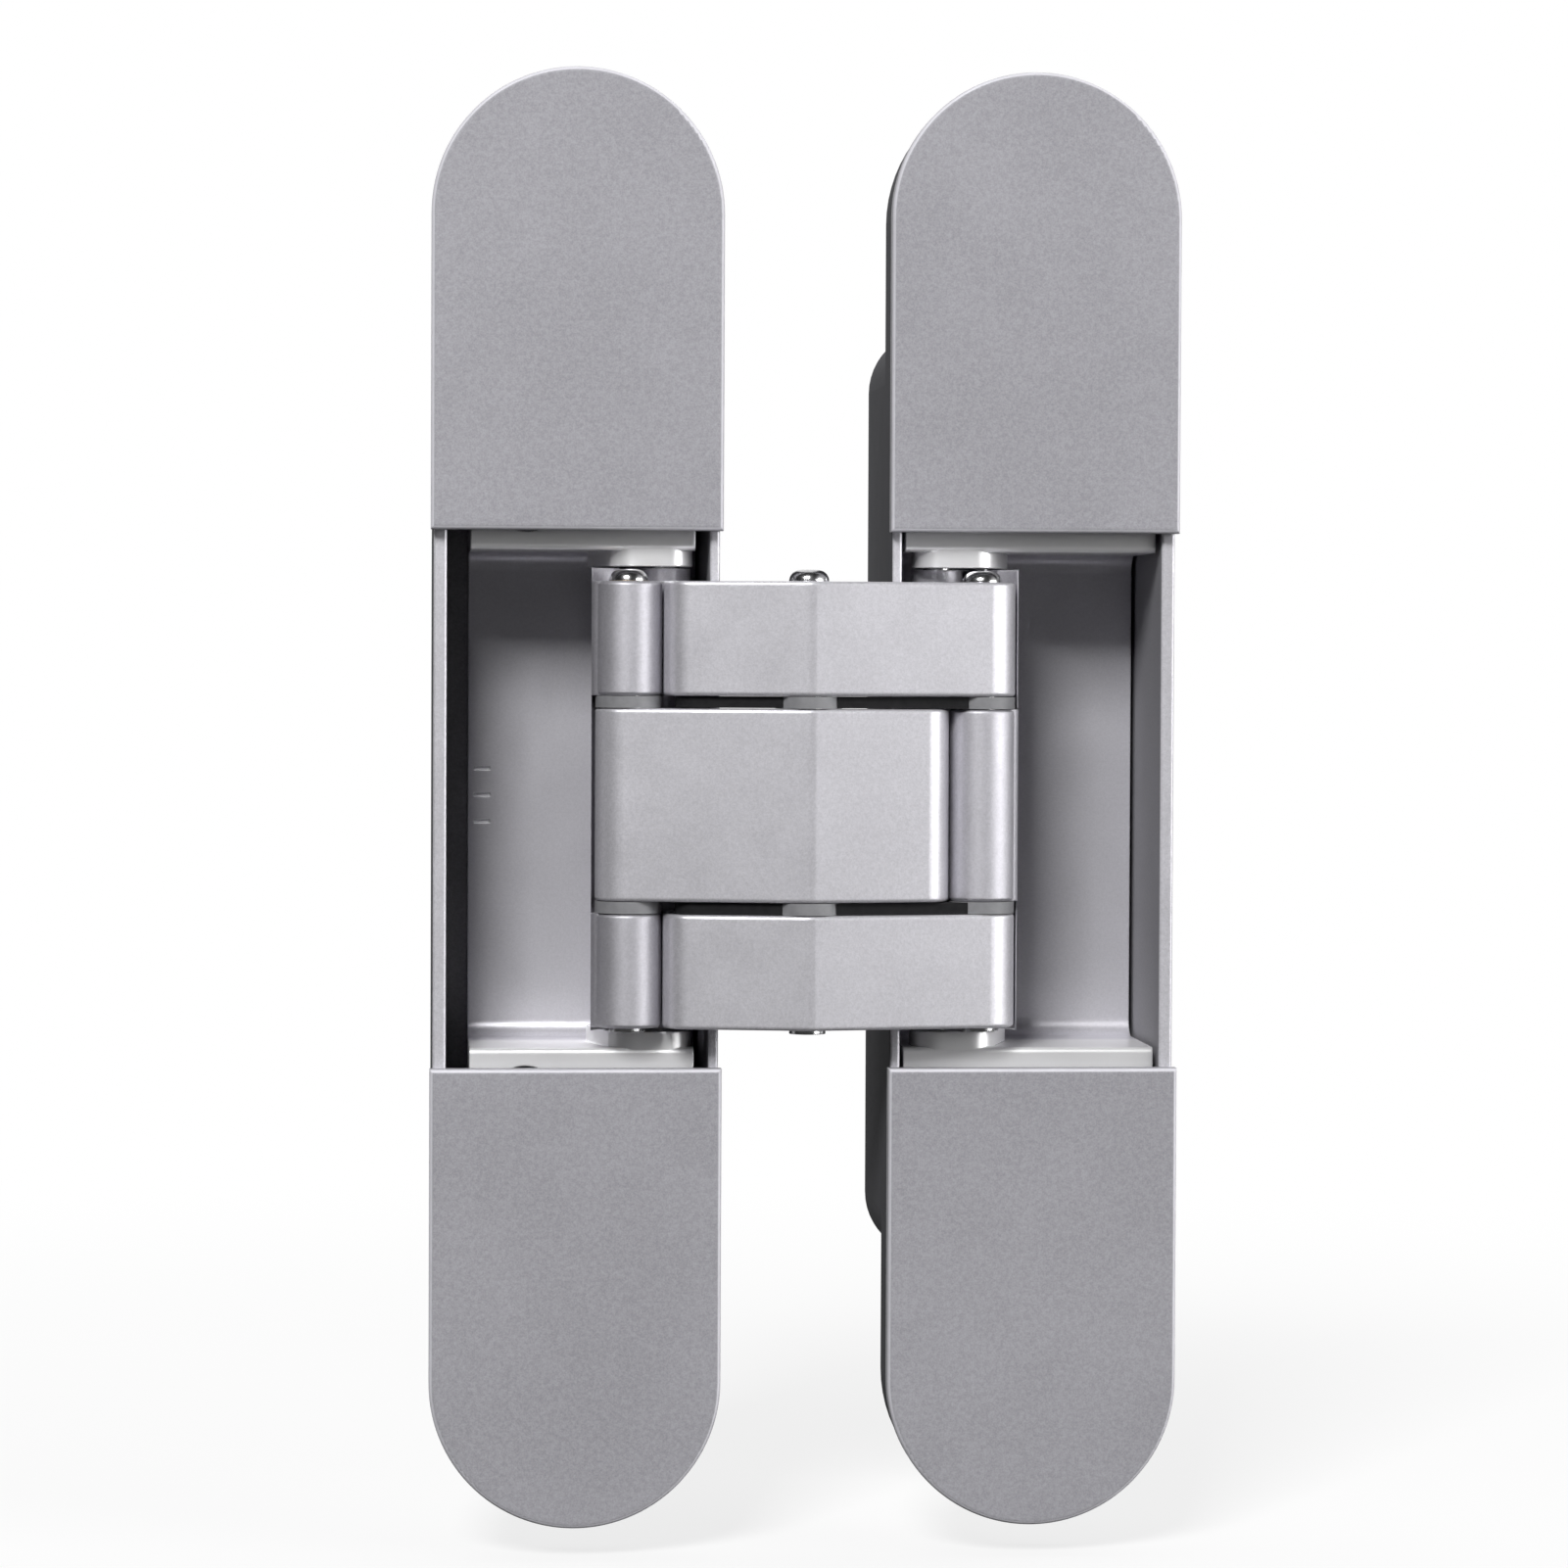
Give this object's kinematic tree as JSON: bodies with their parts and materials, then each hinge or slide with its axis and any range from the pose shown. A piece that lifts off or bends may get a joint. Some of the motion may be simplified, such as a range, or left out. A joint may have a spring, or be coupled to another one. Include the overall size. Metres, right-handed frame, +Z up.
{
  "type": "concealed adjustable door hinge",
  "caption": "Concealed door hinge opened flat: round-ended housings with clipped covers, crossing arms on pins, short links in the pockets, settings for side, height and depth.",
  "frame": {"origin": "middle of the frame leaf's screw rectangle, on the back of its flange", "axes": "+X from the frame leaf to the door leaf, +Y into the wood, away from the covers, +Z up along the leaves"},
  "size_m": [0.0824, 0.0377, 0.16],
  "materials": {
    "housing_zinc": "satin pearl nickel lacquer on die-cast zinc",
    "cover_satin": "satin pearl nickel lacquer, fine grain",
    "carrier_zinc": "smooth satin nickel on die-cast zinc",
    "arm_zinc": "satin pearl nickel lacquer, fine grain",
    "link_zinc": "satin pearl nickel lacquer",
    "pin_steel": "bright turned steel",
    "bush_bronze": "sintered bearing bronze",
    "washer_plastic": "light grey acetal",
    "pad_plastic": "black acetal",
    "screw_steel": "zinc-plated steel"
  },
  "bodies": {
    "frame_leaf": {"frame_housing": "housing_zinc", "frame_upper_cover": "cover_satin", "frame_lower_cover": "cover_satin", "slide_screws": "screw_steel"},
    "side_slide": {"slide_plate": "carrier_zinc", "clamp_screws": "screw_steel"},
    "frame_carriage": {"frame_carrier": "carrier_zinc", "frame_arm_pin": "pin_steel"},
    "fork": {"fork_arm": "arm_zinc", "centre_pin": "pin_steel", "centre_washers": "washer_plastic", "door_joint_pin": "pin_steel", "door_joint_washers": "washer_plastic", "glide_pads": "pad_plastic"},
    "blade": {"blade_arm": "arm_zinc", "centre_bush": "bush_bronze", "frame_joint_pin": "pin_steel", "frame_joint_washers": "washer_plastic"},
    "frame_toggle": {"frame_link": "link_zinc", "frame_link_pin": "pin_steel", "frame_link_bushes": "bush_bronze"},
    "door_toggle": {"door_link": "link_zinc", "door_link_pin": "pin_steel", "door_link_bush": "bush_bronze"},
    "door_carriage": {"door_carrier": "carrier_zinc", "door_arm_pin": "pin_steel"},
    "door_leaf": {"door_housing": "housing_zinc", "door_upper_cover": "cover_satin", "door_lower_cover": "cover_satin"},
    "upper_cam": {"upper_eccentric": "screw_steel"},
    "lower_cam": {"lower_eccentric": "screw_steel"},
    "upper_adjuster": {"upper_depth_screw": "screw_steel"},
    "lower_adjuster": {"lower_depth_screw": "screw_steel"}
  },
  "joints": [
    {"name": "side_setting", "type": "slide", "parent": "frame_leaf", "child": "side_slide", "axis": [1, 0, 0], "range_m": [-0.0013, 0.0013]},
    {"name": "height_setting", "type": "slide", "parent": "side_slide", "child": "frame_carriage", "axis": [0, 0, 1], "range_m": [-0.003, 0.003]},
    {"name": "fold", "type": "hinge", "parent": "frame_carriage", "child": "fork", "pos_m": [0.01, -0.0025, 0], "axis": [0, 0, -1], "range_deg": [0, 107]},
    {"name": "cross", "type": "hinge", "parent": "fork", "child": "blade", "pos_m": [0.0252, -0.013, 0], "axis": [0, 0, -1], "range_deg": [-34, 0]},
    {"name": "door_turn", "type": "hinge", "parent": "blade", "child": "door_carriage", "pos_m": [0.0404, -0.0025, 0], "axis": [0, 0, -1], "range_deg": [0, 107]},
    {"name": "frame_toggle_turn", "type": "hinge", "parent": "blade", "child": "frame_toggle", "pos_m": [0.0057, -0.009, 0], "axis": [0, 0, -1], "range_deg": [0, 34]},
    {"name": "door_toggle_turn", "type": "hinge", "parent": "fork", "child": "door_toggle", "pos_m": [0.0447, -0.009, 0], "axis": [0, 0, -1], "range_deg": [-34, 0]},
    {"name": "depth_setting", "type": "slide", "parent": "door_carriage", "child": "door_leaf", "axis": [0, 1, 0], "range_m": [-0.001, 0.001]},
    {"name": "upper_cam_turn", "type": "hinge", "parent": "frame_leaf", "child": "upper_cam", "pos_m": [0.006, 0.0138, 0.0475], "axis": [0, 1, 0], "range_deg": [-41, 41]},
    {"name": "lower_cam_turn", "type": "hinge", "parent": "frame_leaf", "child": "lower_cam", "pos_m": [0.006, 0.0138, -0.0475], "axis": [0, 1, 0], "range_deg": [-41, 41]},
    {"name": "upper_adjuster_turn", "type": "hinge", "parent": "door_leaf", "child": "upper_adjuster", "pos_m": [0.0502, 0.007, 0.046], "axis": [0, 1, 0], "range_deg": [-361, 361]},
    {"name": "lower_adjuster_turn", "type": "hinge", "parent": "door_leaf", "child": "lower_adjuster", "pos_m": [0.0502, 0.007, -0.046], "axis": [0, 1, 0], "range_deg": [-361, 361]}
  ],
  "couplings": [
    {"joint": "cross", "follows": "fold", "ratio": -0.31776},
    {"joint": "door_turn", "follows": "fold", "ratio": 1},
    {"joint": "frame_toggle_turn", "follows": "fold", "ratio": 0.31776},
    {"joint": "door_toggle_turn", "follows": "fold", "ratio": -0.31776},
    {"joint": "upper_cam_turn", "follows": "side_setting", "rad_per_m": -544.3},
    {"joint": "lower_cam_turn", "follows": "side_setting", "rad_per_m": 544.3},
    {"joint": "upper_adjuster_turn", "follows": "depth_setting", "rad_per_m": 6283.2},
    {"joint": "lower_adjuster_turn", "follows": "depth_setting", "rad_per_m": 6283.2}
  ]
}
